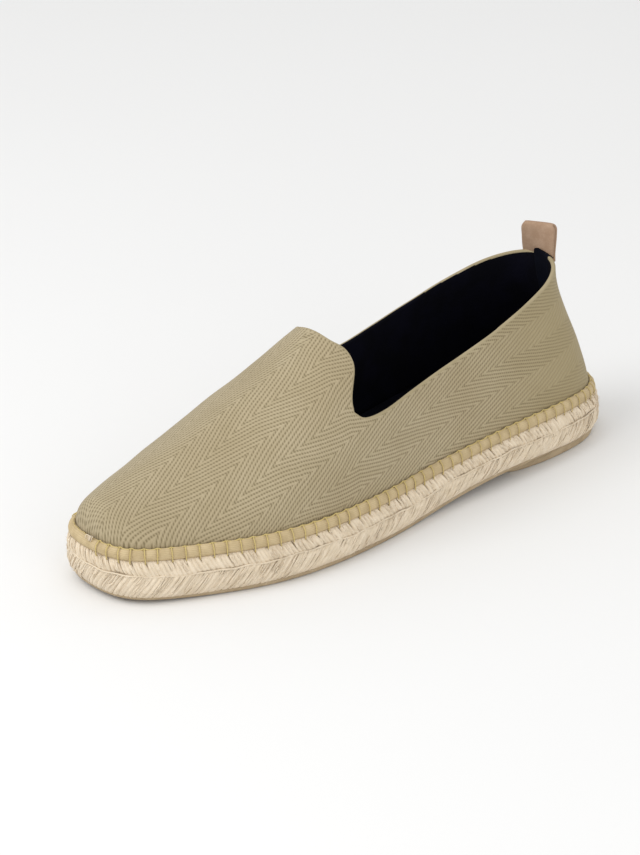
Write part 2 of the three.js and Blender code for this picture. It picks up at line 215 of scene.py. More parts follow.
def outline_at(t, side, inset):
    """Points of the outline moved inwards, at shares of the length on one side."""
    return outline_at_step(step_of(t, side), inset)


def share(y):
    """Share of the length, from the heel, of a place on the y axis."""
    return np.clip(0.5 - y / LENGTH, 0, 1)


fine_u = np.linspace(0, FULL_TURN, 6001)
fine_xy = np.stack(outline_at_step(fine_u), -1)
fine_len = np.r_[0, np.cumsum(np.hypot(*np.diff(fine_xy, axis=0).T))]
GIRTH = fine_len[-1]


def around(distance):
    """Steps at distances in mm round the outline, from the heel back by the outer side."""
    return np.interp(np.asarray(distance, float) % GIRTH, fine_len, fine_u)


# ---------------------------------------------------------------- the last
def ridge_share(t):
    """Share of the length at which the section from outline share t meets the ridge."""
    t = np.asarray(t, float)
    left = np.maximum(1 - t, 0.002)
    s = np.where(t < 2 * HEEL_FAN, HEEL_FAN + t**2 / (4 * HEEL_FAN), t)
    return np.where(left < 2 * TOE_FAN, 1 - TOE_FAN - left**2 / (4 * TOE_FAN), s)


def last_point(t, side, up):
    """Point of the last's surface. up is 0 at its lower edge, the feather line, and 1 on the ridge."""
    t, up = np.broadcast_arrays(np.asarray(t, float), np.asarray(up, float))
    fx, fy = outline_at(t, side, UPPER_INSET)
    s = ridge_share(t)
    base = jute_top(share(fy)) + RAND_HEIGHT
    h = np.clip(up, 0, 1)
    power = fullness(np.maximum(s, FULLNESS[0][0]))
    vamp = 1 - np.maximum(1 - h**power, 0) ** (1 / power)
    blend = ease(s, *COUNTER_BLEND)
    lean = counter(h) * (1 - blend) + vamp * blend
    return np.stack([
        fx + (ridge_x(s) - fx) * lean,
        fy + (LENGTH * (0.5 - s) - fy) * lean,
        base + (ridge_z(s) - base) * up,
    ], -1)


def edge_up(t, side):
    """Where the collar edge lies, as a share of the way up to the ridge."""
    at = np.minimum(t, NOTCH)
    base = jute_top(at) + RAND_HEIGHT
    edge = collar_z(at) if side > 0 else collar_inner_z(at)
    return (edge - EDGE_ROLL - base) / (ridge_z(ridge_share(at)) - base)


# ---------------------------------------------------------------- mesh helpers
def place_piece(mesh, name, materials):
    """Object of a finished mesh, on the shoe's one body and in a material slot."""
    mesh.validate()
    for made in materials:
        mesh.materials.append(made)
    piece = bpy.data.objects.new(name, mesh)
    bpy.context.scene.collection.objects.link(piece)
    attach(piece, "root")
    return piece


class Sheet:
    """Collects vertices, faces, face materials and one map of two numbers per face corner."""

    def __init__(self):
        self.v, self.f, self.m, self.uv = [], [], [], []
        self.count = 0

    def add(self, verts, faces=(), uvs=None, material=0):
        """Vertices, and quads numbered from the first of them."""
        verts = np.asarray(verts, float).reshape(-1, 3)
        start = self.count
        self.v.append(verts)
        self.count += len(verts)
        self.add_faces((np.asarray(faces, int).reshape(-1, 4) + start).tolist(), uvs, material)

    def add_faces(self, faces, uvs=None, material=0):
        """Faces on vertices that are already there, with one material or one for each face."""
        if uvs is None:
            uvs = np.zeros((sum(len(face) for face in faces), 2))
        self.f.extend(faces)
        self.m.extend(np.broadcast_to(material, len(faces)).tolist())
        self.uv.append(np.asarray(uvs, float).reshape(-1, 2))

    def make(self, name, materials):
        mesh = bpy.data.meshes.new(name)
        mesh.from_pydata((np.concatenate(self.v) * MM).tolist(), [], self.f)
        mesh.polygons.foreach_set("use_smooth", [True] * len(self.f))
        mesh.polygons.foreach_set("material_index", self.m)
        layer = mesh.uv_layers.new(name="weave")
        layer.data.foreach_set("uv", np.concatenate(self.uv).ravel())
        return place_piece(mesh, name, materials)


def grid_faces(rows, cols, wrap_cols=False, wrap_rows=False, flip=False):
    """Quads of a grid numbered row by row."""
    r = np.arange(rows if wrap_rows else rows - 1)
    c = np.arange(cols if wrap_cols else cols - 1)
    r, c = np.meshgrid(r, c, indexing="ij")
    r1, c1 = (r + 1) % rows, (c + 1) % cols
    quad = np.stack([r * cols + c, r * cols + c1, r1 * cols + c1, r1 * cols + c], -1).reshape(-1, 4)
    return quad[:, ::-1] if flip else quad


def ring_faces(a, b):
    """Quads between two closed rings of vertex numbers."""
    return np.stack([a, np.roll(a, -1), np.roll(b, -1), b], -1)


def normalise(v):
    return v / np.maximum(np.linalg.norm(v, axis=-1, keepdims=True), 1e-9)


def rings_round(path, along, out, half_width, half_height, sides):
    """Rings of points round a path. half_height is their half size in the direction out."""
    across = normalise(np.cross(out, along))
    up = np.cross(along, across)
    a = np.linspace(0, 2 * np.pi, sides, endpoint=False)[:, None]
    w = np.broadcast_to(half_width, len(path))[:, None, None]
    h = np.broadcast_to(half_height, len(path))[:, None, None]
    return path[:, None] + across[:, None] * np.cos(a) * w + up[:, None] * np.sin(a) * h


def tube_map(starts, ends, sides):
    """Map of a tube's quads: share of the way round it, and distance along it at each quad's ends."""
    r, c = np.meshgrid(np.arange(len(starts)), np.arange(sides), indexing="ij")
    u = np.stack([c, c + 1, c + 1, c], -1).reshape(-1, 4) / sides
    v = np.stack([starts[r], starts[r], ends[r], ends[r]], -1).reshape(-1, 4)
    return np.stack([u, v], -1)


def add_tube(sheet, path, out, half_width, half_height, sides):
    """Tube along a path, closed at both ends."""
    n = len(path)
    along = normalise(np.gradient(path, axis=0))
    rings = rings_round(path, along, out, half_width, half_height, sides)
    length = np.r_[0, np.cumsum(np.linalg.norm(np.diff(path, axis=0), axis=1))]
    verts = np.concatenate([rings.reshape(-1, 3), path[:1], path[-1:]])
    start = sheet.count
    sheet.add(verts, grid_faces(n, sides, wrap_cols=True), tube_map(length[:-1], length[1:], sides))
    k, after = np.arange(sides), (np.arange(sides) + 1) % sides
    last = (n - 1) * sides
    first_cap = np.stack([after, k, np.full(sides, n * sides)], -1)
    last_cap = np.stack([last + k, last + after, np.full(sides, n * sides + 1)], -1)
    sheet.add_faces((np.concatenate([first_cap, last_cap]) + start).tolist())


def add_closed_cord(sheet, path, out, radius):
    """Round cord along a path that closes on itself."""
    sides = 6
    along = normalise(np.roll(path, -1, 0) - np.roll(path, 1, 0))
    rings = rings_round(path, along, out, radius, radius, sides)
    length = np.r_[0, np.cumsum(np.linalg.norm(np.diff(path, axis=0), axis=1))]
    ends = np.r_[length[1:], length[-1] + length[1]]
    faces = grid_faces(len(path), sides, wrap_cols=True, wrap_rows=True)
    sheet.add(rings, faces, tube_map(length, ends, sides))


def ring_points(u, inset, height, up):
    """Ring round the shoe at steps u, a distance above a height that is given over the length."""
    x, y = outline_at_step(u, inset)
    return np.stack([x, y, height(share(y)) + up], -1)


def paired_steps(n):
    """Steps round the outline in mirrored pairs, closer at both ends."""
    t = (1 - np.cos(np.linspace(0, np.pi, n + 1))) / 2
    return np.r_[step_of(t, 1), step_of(t[1:-1], -1)[::-1]]


def lid_faces(n, first, flip):
    """Strips straight across a ring of n mirrored points that starts at number first."""
    faces = []
    for i in range(n // 2):
        quad = [i, i + 1, n - i - 1, (n - i) % n]
        quad = [q for k, q in enumerate(quad) if q not in quad[:k]]
        faces.append([first + q for q in (quad[::-1] if flip else quad)])
    return faces


def stacked(name, loops, material):
    """Closed body from loops of mirrored points stacked upwards, with a flat lid at each end."""
    n, levels = len(loops[0]), len(loops)
    faces = grid_faces(levels, n, wrap_cols=True, flip=True).tolist()
    side = len(faces)
    faces += lid_faces(n, 0, False) + lid_faces(n, (levels - 1) * n, True)
    mesh = bpy.data.meshes.new(name)
    mesh.from_pydata((np.concatenate(loops) * MM).tolist(), [], faces)
    mesh.polygons.foreach_set("use_smooth", [k < side for k in range(len(faces))])
    return place_piece(mesh, name, [material])


# ---------------------------------------------------------------- camera
# degrees
AZIMUTH, ELEVATION, ROLL = 50.84, 25.18, -2.07
DISTANCE, LENS = 1469.0, 136.48
# the camera stands off from this height over the origin, and looks this far to the left of it and above it
LOOK_HEIGHT, LOOK_LEFT, LOOK_UP = 35.0, 11.602, -0.045


def direction(azimuth, elevation):
    """From the shoe towards an azimuth and elevation in degrees."""
    a, e = math.radians(azimuth), math.radians(elevation)
    return Vector((math.sin(a) * math.cos(e), -math.cos(a) * math.cos(e), math.sin(e)))


def make_camera():
    a, roll = math.radians(AZIMUTH), math.radians(ROLL)
    target = Vector((0, 0, LOOK_HEIGHT))
    back = direction(AZIMUTH, ELEVATION)
    place = target + back * DISTANCE
    level = Vector((math.cos(a), math.sin(a), 0))
    upright = back.cross(level)
    right = level * math.cos(roll) + upright * math.sin(roll)
    up = upright * math.cos(roll) - level * math.sin(roll)
    aim = target - right * LOOK_LEFT + up * LOOK_UP
    back = (place - aim).normalized()
    right = (right - back * right.dot(back)).normalized()
    up = back.cross(right)
    data = bpy.data.cameras.new("camera")
    data.sensor_width = 36
    data.lens = LENS
    data.clip_start, data.clip_end = 0.05, 20
    cam = bpy.data.objects.new("camera", data)
    bpy.context.scene.collection.objects.link(cam)
    turn = Matrix((right, up, back)).transposed().to_4x4()
    cam.matrix_world = Matrix.Translation(place * MM) @ turn
    bpy.context.scene.camera = cam


make_camera()


# ---------------------------------------------------------------- materials
class Nodes:
    """Short way to write a node tree. Numbers and sockets may both be given as inputs."""

    def __init__(self, name, color, roughness):
        self.material = bpy.data.materials.new(name)
        self.material.use_nodes = True
        self.tree = self.material.node_tree
        self.shader = self.tree.nodes["Principled BSDF"]
        self.shader.inputs["Roughness"].default_value = roughness
        self.shader.inputs["Base Color"].default_value = (*color, 1)
        self.shader.inputs["Specular IOR Level"].default_value = 0.25

    def node(self, kind, inputs=(), output=0, **settings):
        made = self.tree.nodes.new(kind)
        for key, value in settings.items():
            setattr(made, key, value)
        for key, value in (inputs.items() if isinstance(inputs, dict) else enumerate(inputs)):
            if isinstance(value, bpy.types.NodeSocket):
                self.tree.links.new(value, made.inputs[key])
            else:
                made.inputs[key].default_value = value
        return made.outputs[output]

    def math(self, operation, *values):
        return self.node("ShaderNodeMath", values, operation=operation)

    def plus(self, a, b):
        return self.math("ADD", a, b)

    def minus(self, a, b):
        return self.math("SUBTRACT", a, b)

    def times(self, a, b):
        return self.math("MULTIPLY", a, b)

    def over(self, a, b):
        return self.math("DIVIDE", a, b)

    def off_middle(self, value):
        """0 in the middle between two whole numbers, a half at a whole number."""
        return self.math("ABSOLUTE", self.minus(self.math("FRACT", value), 0.5))

    def noise(self, where, scale, detail=2.0, rough=0.5):
        inputs = {"Vector": where, "Scale": scale, "Detail": detail, "Roughness": rough}
        return self.node("ShaderNodeTexNoise", inputs)

    def white(self, w):
        return self.node("ShaderNodeTexWhiteNoise", {"W": w}, noise_dimensions="1D")

    def step(self, value, lo, hi, out_lo=0.0, out_hi=1.0):
        inputs = [value, lo, hi, out_lo, out_hi]
        return self.node("ShaderNodeMapRange", inputs, interpolation_type="SMOOTHSTEP")

    def mix(self, factor, a, b):
        """Mix of two colours, each a socket or three numbers."""
        a, b = [(*value, 1) if isinstance(value, tuple) else value for value in (a, b)]
        return self.node("ShaderNodeMix", {0: factor, 6: a, 7: b}, output=2, data_type="RGBA")

    def color(self, socket):
        self.tree.links.new(socket, self.shader.inputs["Base Color"])

    def roughness(self, socket):
        self.tree.links.new(socket, self.shader.inputs["Roughness"])

    def bump(self, height, distance_mm, strength=1.0):
        inputs = {"Height": height, "Distance": distance_mm * MM, "Strength": strength}
        self.tree.links.new(self.node("ShaderNodeBump", inputs), self.shader.inputs["Normal"])

    def object_mm(self):
        place = self.node("ShaderNodeTexCoord", output=3)
        return self.node("ShaderNodeVectorMath", [place, (1000.0, 1000.0, 1000.0)], operation="MULTIPLY")

    def weave_map(self):
        uv = self.node("ShaderNodeUVMap", uv_map="weave")
        split = self.tree.nodes.new("ShaderNodeSeparateXYZ")
        self.tree.links.new(uv, split.inputs[0])
        return split.outputs[0], split.outputs[1]


def srgb(r, g, b):
    """Linear colour of a screen colour given from 0 to 255."""
    def lin(c):
        c /= 255
        return c / 12.92 if c <= 0.04045 else ((c + 0.055) / 1.055) ** 2.4
    return lin(r), lin(g), lin(b)


# the weave, mm: width of a column, where the first starts, distance between ribs and between dots on one
COLUMN = 12.25
COLUMN_OFFSET = 11.05
RIB = 1.8
PICK = 1.28
# angle of the ribs across a column, and the lean that makes one leg of each zigzag steeper than the other
RIB_ANGLE = math.radians(18.5)
SKEW = 0.07


def canvas_material():
    """Herringbone twill: light ribs that turn at every column, over a darker dotted ground."""
    n = Nodes("herringbone_canvas", srgb(172, 157, 124), 0.88)
    p, q = n.weave_map()
    place = n.object_mm()
    # each rib runs up one column and down the next
    wander = n.times(n.minus(n.noise(place, 0.12), 0.5), 0.7)
    p1 = n.plus(n.plus(p, COLUMN_OFFSET), wander)
    fold = n.math("PINGPONG", p1, COLUMN)
    sideways = n.plus(n.times(fold, math.cos(RIB_ANGLE)), n.times(p1, SKEW))
    phase = n.over(n.plus(sideways, n.times(q, math.sin(RIB_ANGLE))), RIB)
    rib_number = n.math("FLOOR", phase)
    rib = n.off_middle(phase)
    # the ground between the ribs shows as dots
    pick = n.plus(n.over(q, PICK), n.times(fold, 0.14))
    dot = n.off_middle(pick)
    gap = n.step(rib, 0.14, 0.4)
    dark = n.times(gap, n.step(dot, 0.12, 0.42, 1.0, 0.3))
    dark = n.math("MAXIMUM", dark, n.step(dot, 0.3, 0.05, 0.0, 0.12))
    # the pattern fades towards the heel, most of all in every other column
    back = n.node("ShaderNodeSeparateXYZ", [place], output=1)
    dark = n.times(dark, n.step(back, 75.0, 138.0, 1.0, 0.35))
    every_other = n.math("GREATER_THAN", n.math("FRACT", n.over(p1, 2 * COLUMN)), 0.5)
    faint = n.times(every_other, n.step(back, 50.0, 100.0, 0.0, 0.5))
    dark = n.times(dark, n.minus(1.0, faint))
    # patches, uneven yarns and mottling of the light yarn
    tone = n.noise(place, 0.03, 3.0)
    mottle = n.noise(place, 0.9, 3.0, 0.65)
    light = n.mix(n.step(tone, 0.3, 0.7), srgb(182, 168, 139), srgb(172, 157, 127))
    light = n.mix(n.times(n.white(rib_number), 0.3), light, srgb(160, 146, 114))
    light = n.mix(n.step(mottle, 0.35, 0.7, 0.0, 0.35), light, srgb(154, 140, 109))
    # darker towards the heel: painted shade for the heel's side, which turns away from the lamps
    light = n.mix(n.step(back, 30.0, 120.0, 0.0, 0.75), light, srgb(155, 140, 103))
    n.color(n.mix(n.times(dark, 0.72), light, srgb(104, 92, 62)))
    round_rib = n.step(rib, 0.0, 0.5, 1.0, 0.0)
    height = n.plus(n.times(round_rib, n.step(dot, 0.3, 0.5, 1.0, 0.8)), n.times(mottle, 0.35))
    n.bump(height, 0.25, 0.7)
    n.shader.inputs["Sheen Weight"].default_value = 0.1
    n.shader.inputs["Sheen Roughness"].default_value = 0.5
    return n.material


def plain_cloth(name, color, lighter):
    """Matt close cloth in two near shades."""
    n = Nodes(name, srgb(*color), 0.9)
    place = n.object_mm()
    weave = n.noise(place, 1.3, 2.0)
    n.color(n.mix(n.step(n.noise(place, 0.08), 0.35, 0.7), srgb(*color), srgb(*lighter)))
    n.bump(weave, 0.15, 0.5)
    n.shader.inputs["Specular IOR Level"].default_value = 0.12
    return n.material


def jute_material():
    """Pale bast fibre: fine lines along each strand, patchy colour, and brown in the cuts between strands,
    partly the fibre's darker inside and partly painted shade.
    """
    light, mid, dark, cavity_brown_and_shade = (231, 216, 193), (220, 204, 179), (190, 168, 134), (112, 88, 60)
    n = Nodes("jute_strand", srgb(*mid), 0.92)
    u, v = n.weave_map()
    place = n.object_mm()
    stretched = [n.times(u, 30.0), n.times(v, 0.35), 0.0]
    lines = n.node("ShaderNodeCombineXYZ", stretched)
    fine = n.noise(lines, 1.0, 3.0, 0.6)
    patch = n.noise(place, 0.16, 3.0, 0.6)
    speck = n.noise(place, 1.6, 2.0)
    cavity_shade = n.node("ShaderNodeAttribute", output=2, attribute_name="cavity_shade")
    base = n.mix(n.step(patch, 0.32, 0.68), srgb(*light), srgb(*mid))
    base = n.mix(n.step(fine, 0.48, 0.75, 0.0, 0.3), base, srgb(*dark))
    base = n.mix(n.step(speck, 0.6, 0.8, 0.0, 0.22), base, srgb(*dark))
    # painted shade in the cuts between strands, with some of the fibre's own darker brown
    n.color(n.mix(n.step(cavity_shade, 0.25, 1.0, 0.0, 0.65), base, srgb(*cavity_brown_and_shade)))
    n.bump(n.plus(fine, n.times(speck, 0.4)), 0.22, 0.6)
    n.shader.inputs["Sheen Weight"].default_value = 0.1
    return n.material


def tape_material():
    n = Nodes("cotton_rand", srgb(186, 166, 126), 0.9)
    u = n.weave_map()[0]
    place = n.object_mm()
    rib = n.math("SINE", n.times(u, 2 * math.pi / 0.8))
    patch = n.noise(place, 0.2, 3.0)
    base = n.mix(n.step(patch, 0.3, 0.7), srgb(200, 180, 142), srgb(184, 164, 126))
    n.color(n.mix(n.step(rib, -0.2, 1.0, 0.0, 0.25), base, srgb(164, 143, 106)))
    n.bump(n.plus(n.times(rib, 0.3), n.noise(place, 1.2)), 0.18, 0.7)
    return n.material


def thread_material():
    n = Nodes("waxed_thread", srgb(208, 188, 128), 0.75)
    u, v = n.weave_map()
    ply = n.math("SINE", n.times(n.plus(n.over(v, 1.1), u), 4 * math.pi))
    # darker in the grooves between the plies: painted shade
    n.color(n.mix(n.step(ply, -1.0, 0.4, 0.5, 0.0), srgb(216, 196, 134), srgb(172, 148, 86)))
    n.bump(ply, 0.12, 0.6)
    return n.material


def rubber_material():
    n = Nodes("tan_rubber", srgb(140, 122, 99), 0.7)
    place = n.object_mm()
    patch = n.noise(place, 0.12, 4.0, 0.6)
    grit = n.noise(place, 2.2, 2.0)
    n.color(n.mix(n.step(patch, 0.3, 0.7), srgb(180, 161, 132), srgb(162, 143, 115)))
    n.roughness(n.step(grit, 0.3, 0.7, 0.6, 0.8))
    n.bump(grit, 0.12, 0.6)
    return n.material


def leather_material():
    n = Nodes("nubuck_leather", srgb(176, 146, 122), 0.72)
    place = n.object_mm()
    grain = n.node("ShaderNodeTexVoronoi", {"Vector": place, "Scale": 1.6})
    patch = n.noise(place, 0.25, 4.0, 0.6)
    base = n.mix(n.step(patch, 0.3, 0.7), srgb(174, 147, 124), srgb(160, 132, 108))
    n.color(n.mix(n.step(grain, 0.3, 0.8, 0.3, 0.0), base, srgb(150, 120, 96)))
    n.bump(n.plus(grain, n.noise(place, 1.5)), 0.12, 0.5)
    return n.material


CANVAS = canvas_material()
LINING = plain_cloth("navy_lining", (4, 4, 12), (8, 8, 22))
FOLD = plain_cloth("canvas_fold", (158, 145, 115), (167, 154, 125))
HEEL_TAPE = plain_cloth("navy_heel_tape", (5, 7, 18), (9, 13, 28))
JUTE = jute_material()
TAPE = tape_material()
THREAD = thread_material()
RUBBER = rubber_material()
LEATHER = leather_material()


# ---------------------------------------------------------------- upper
QUARTER_COLUMNS, NOTCH_COLUMNS, VAMP_COLUMNS = 130, 14, 104
LOWER_ROWS, TOP_ROWS, RIM_STEPS = 26, 34, 10
# number of the first column that goes on up beside the tongue and over the vamp
THROAT = QUARTER_COLUMNS + NOTCH_COLUMNS
# steps of the grid that distances on the last are measured on, along it and up it
T_STEPS, UP_STEPS = 400, 40


def side_shares():
    """Shares of the length of a side's columns, closer at the heel, the notch and the toe."""
    k = np.arange(1, QUARTER_COLUMNS + 1) / QUARTER_COLUMNS
    quarter = NOTCH_START * (1 - np.cos(np.pi / 2 * k))
    notch = NOTCH_START + (NOTCH - NOTCH_START) * np.arange(1, NOTCH_COLUMNS + 1) / NOTCH_COLUMNS
    k = np.arange(1, VAMP_COLUMNS) / VAMP_COLUMNS
    vamp = 1 - (1 - NOTCH) * (1 - np.cos(np.pi / 2 * (1 - k)))
    return np.r_[quarter, notch, vamp]


def upper_grids(side):
    """A lower grid for the side and a top grid for the vamp: points, shares of length, shares of height."""
    t = np.r_[0.0, side_shares(), 1.0]
    edge = np.arcsin(edge_up(t, side))
    k = np.linspace(0, 1, LOWER_ROWS + 1)
    up = np.sin(edge[:, None] * k)
    lower = last_point(t[:, None], side, up)
    feet = lower[:, :1].copy()
    feet[:, 0, 2] = jute_top(share(feet[:, 0, 1])) + GAP
    lower = np.concatenate([feet, lower], 1)
    t_low = np.repeat(t[:, None], lower.shape[1], 1)
    up_low = np.concatenate([np.zeros((len(t), 1)), up], 1)

    t_vamp, edge_vamp = t[THROAT:], edge[THROAT:]
    part = np.linspace(0, 1, TOP_ROWS + 1)
    reach = 1 - ease(t_vamp, NOTCH, 0.88)
    back = (tongue_back(part) - 0.0012 * ease(part, 0, 0.1))[None, :] * reach[:, None]
    t_top = t_vamp[:, None] - back
    up_top = np.sin(edge_vamp[:, None] + (np.pi / 2 - edge_vamp[:, None]) * part)
    return (lower, t_low, up_low), (last_point(t_top, side, up_top), t_top, up_top)


class Points:
    """Numbered points, each with its share of the length, its share of the height and its side."""

    def __init__(self):
        self.rows = []
        self.count = 0

    def add(self, places, t, up, side):
        """Stores points and returns their numbers."""
        self.rows.append(np.column_stack([places, t, up, np.full(len(places), side)]))
        self.count += len(places)
        return np.arange(self.count - len(places), self.count)


def number_points():
    """The outside's points, once each, and the numbers in each side's two grids. Seam points have side 0."""
    store = Points()
    low, top = {}, {}
    for side in (1, -1):
        (lower, t_low, up_low), (vamp, t_top, up_top) = upper_grids(side)
        low[side], top[side] = np.zeros(t_low.shape, int), np.zeros(t_top.shape, int)
        last = len(lower) - 1
        for i in range(last + 1):
            seam = i in (0, last)
            if seam and side < 0:
                low[side][i] = low[1][i]
            else:
                low[side][i] = store.add(lower[i], t_low[i], up_low[i], 0 if seam else side)
        for i in range(last + 1 - THROAT):
            top[side][i, 0] = low[side][THROAT + i, -1]
            if side > 0:
                top[side][i, 1:] = store.add(vamp[i, 1:], t_top[i, 1:], up_top[i, 1:], side)
            elif i == last - THROAT:
                top[side][i] = top[1][i]
            else:
                top[side][i, 1:-1] = store.add(vamp[i, 1:-1], t_top[i, 1:-1], up_top[i, 1:-1], side)
                top[side][i, -1] = top[1][i, -1]
    return np.concatenate(store.rows), low, top


def side_faces(grid, side):
    a, b, c, d = grid[:-1, :-1], grid[:-1, 1:], grid[1:, 1:], grid[1:, :-1]
    return np.stack([a, b, c, d] if side > 0 else [d, c, b, a], -1).reshape(-1, 4)


def point_normals(points, faces):
    p = points[faces]
    face_normals = np.cross(p[:, 2] - p[:, 0], p[:, 3] - p[:, 1])
    normals = np.zeros_like(points)
    for k in range(4):
        np.add.at(normals, faces[:, k], face_normals)
    return normalise(normals)


def waved(points, normals, t, up, sides):
    """Points moved by the soft waves of the cloth, which die out at the lower edge."""
    move = np.zeros(len(points))
    for at, height, side, long, wide, depth in WAVES:
        on = 1.0 if side == 0 else (sides == side) | (sides == 0)
        move -= on * depth * np.exp(-((t - at) / long) ** 2 - ((up - height) / wide) ** 2)
    x, y, z = points.T
    move += 0.18 * np.sin(y / 13.0 + 1.3 * np.sin(z / 17.0)) * np.sin(x / 11.0 + z / 9.0 + 0.7)
    move += 0.12 * np.sin(y / 5.1 + z / 6.3) * np.sin(x / 6.7 - z / 4.9 + 2.0)
    return points + normals * (move * ease(up, 0.0, 0.16))[:, None]


def edge_loop(low, top, back):
    """Point numbers round the collar and the tongue: back is 0 on the edge and 1 one row behind it."""
    return np.r_[
        low[1][:THROAT + 1, -1 - back], top[1][back, 1:],
        top[-1][back, 1:-1][::-1], low[-1][1:THROAT + 1, -1 - back][::-1],
    ]


def add_rim(sheet, points, inner, loop, behind, t):
    """Half-round rolled edge from the canvas to the lining, which starts higher towards the heel."""
    middle = (points[loop] + inner[loop]) / 2
    ahead = normalise(np.roll(middle, -1, 0) - np.roll(middle, 1, 0))
    out = normalise(points[loop] - inner[loop])
    beyond = normalise(np.cross(ahead, out))
    flip = np.sign(((points[loop] - points[behind]) * beyond).sum(-1, keepdims=True))
    beyond = beyond * np.where(flip == 0, 1, flip)
    radius = np.linalg.norm(points[loop] - inner[loop], axis=1, keepdims=True) / 2
    angles = np.linspace(0, np.pi, RIM_STEPS + 2)[1:-1]
    arcs = [middle + out * radius * math.cos(a) + beyond * radius * math.sin(a) * 0.95 for a in angles]
    rings = [loop] + [sheet.count + k * len(loop) + np.arange(len(loop)) for k in range(RIM_STEPS)]
    rings.append(loop + len(points))
    sheet.add(np.concatenate(arcs))
    lining_from = np.interp(t[loop], [0.04, 0.24], [RIM_STEPS + 1, RIM_STEPS / 2 + 1])
    for k, (a, b) in enumerate(zip(rings, rings[1:])):
        quads = np.stack([a, b, np.roll(b, -1), np.roll(a, -1)], -1)
        sheet.add_faces(quads.tolist(), material=np.where(k >= lining_from, 1, 2))


def build_upper():
    """One mesh: canvas outside, rolled edge, lining inside. Returns the heel seam's points and normals."""
    rows, low, top = number_points()
    points, t, up, sides = rows[:, :3], rows[:, 3], rows[:, 4], rows[:, 5]
    grids = [(low[1], 1), (top[1], 1), (low[-1], -1), (top[-1], -1)]
    quads = [side_faces(grid, side) for grid, side in grids]
    faces = np.concatenate(quads)
    normals = point_normals(points, faces)
    points = waved(points, normals, t, up, sides)
    inner = points - normals * WALL
    feet = np.unique(np.r_[low[1][:, :2].ravel(), low[-1][:, :2].ravel()])
    inner[feet] = points[feet] - normalise(normals[feet] * (1, 1, 0)) * WALL

    # at the heel seam the weave of each side runs up to the seam from its own side
    weave = weave_coordinates(points, t, up)[faces]
    face_side = np.repeat([side for grid, side in grids], [len(quad) for quad in quads])[:, None]
    seam = (sides[faces] == 0) & (t[faces] <= 0.999)
    weave[..., 0] = np.where(seam, np.abs(weave[..., 0]) * face_side, weave[..., 0])

    sheet = Sheet()
    sheet.add(points, faces, weave, 0)
    sheet.add(inner, faces[:, ::-1], weave[:, ::-1], 1)
    add_rim(sheet, points, inner, edge_loop(low, top, 0), edge_loop(low, top, 1), t)
    foot = np.r_[low[1][:, 0], low[-1][1:-1, 0][::-1]]
    sheet.add_faces(ring_faces(foot, foot + len(points)).tolist(), material=1)
    piece = sheet.make("upper_canvas", [CANVAS, LINING, FOLD])
    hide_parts("upper")
    heel = low[1][0]
    return points[heel], normals[heel]


def height_on_last(t, up, side):
    """Distance up the last's surface to points, and the whole distance to the ridge at their share t."""
    t_grid = np.linspace(0, 1, T_STEPS + 1)
    angles = np.linspace(0, np.pi / 2, UP_STEPS + 1)
    grid = last_point(t_grid[:, None], side, np.sin(angles))
    rise = np.cumsum(np.linalg.norm(np.diff(grid, axis=1), axis=2), 1)
    rise = np.concatenate([np.zeros((len(t_grid), 1)), rise], 1)
    # behind the knee there is no ridge to measure to, so the distance goes on evenly
    knee = 0.6
    whole = rise[:, -1].copy()
    behind = t_grid < knee
    whole[behind] = np.interp(knee, t_grid, whole) + 0.2 * LENGTH * (knee - t_grid[behind])

    row = np.clip(t * T_STEPS, 0, T_STEPS)
    col = np.interp(np.arcsin(np.clip(up, 0, 1)), angles, np.arange(UP_STEPS + 1))
    r, c = np.minimum(row.astype(int), T_STEPS - 1), np.minimum(col.astype(int), UP_STEPS - 1)
    fr, fc = row - r, col - c
    risen = (1 - fr) * (1 - fc) * rise[r, c] + (1 - fr) * fc * rise[r, c + 1]
    risen += fr * (1 - fc) * rise[r + 1, c] + fr * fc * rise[r + 1, c + 1]
    return risen, np.interp(t, t_grid, whole)


def weave_coordinates(points, t, up):
    """Across: distance down from the ridge line, negative on the inner side. Along: distance forward, mm."""
    s = ridge_share(t)
    outer = points[:, 0] >= ridge_x(s)
    across = np.zeros(len(points))
    for side, chosen in ((1, outer), (-1, ~outer)):
        risen, whole = height_on_last(t, up, side)
        across[chosen] = (side * (whole - risen))[chosen]
    # round the toe the columns run straight on in plan
    toe = ease(t, 0.86, 0.95)
    across = across * (1 - toe) + (points[:, 0] - ridge_x(s)) * 1.12 * toe

    t_grid = np.linspace(0, 1, T_STEPS + 1)
    slope = np.gradient(ridge_z(t_grid), LENGTH * (0.5 - t_grid))
    slope = np.where(t_grid > 0.55, slope, 0.22)
    steps = LENGTH / T_STEPS * np.sqrt(1 + ((slope[1:] + slope[:-1]) / 2) ** 2)
    forward = np.r_[0, np.cumsum(steps)]
    beyond = np.where(t > 0.7, LENGTH * (0.5 - s) - points[:, 1], 0) * 1.35
    along = np.interp(np.where(t > 0.55, s, t), t_grid, forward) + beyond

    spread = 1.07 - 0.07 * ease(along, 120, 165)
    side = np.where(across >= 0, 1, -1)
    turn = np.where(side > 0, 1, 2 * ease(along, 140, 195) - 1)
    from_edge = across - side * EDGE_COLUMN - turn * weave_drift(along)
    return np.stack([side * EDGE_COLUMN + from_edge * spread, along], -1)


# ---------------------------------------------------------------- rubber sole, footbed and heel lift
def build_sole():
    pairs = paired_steps(260)
    edge = OUTSOLE_INSET
    levels = [(edge + 0.5, 0.0), (edge + 0.1, 0.25), (edge, 0.7), (edge, OUTSOLE_THICK)]
    loops = [ring_points(pairs, inset, underside, up) for inset, up in levels]
    piece = stacked("rubber_outsole", loops, RUBBER)
    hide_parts("outsole")

    edge = UPPER_INSET + WALL + 0.3
    levels = [(edge, GAP), (edge, GAP + 2.2), (edge + 0.3, GAP + 2.7), (edge + 1.0, GAP + 3.0)]
    loops = [ring_points(pairs, inset, jute_top, up) for inset, up in levels]
    piece = stacked("footbed", loops, LINING)
    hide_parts("insole")


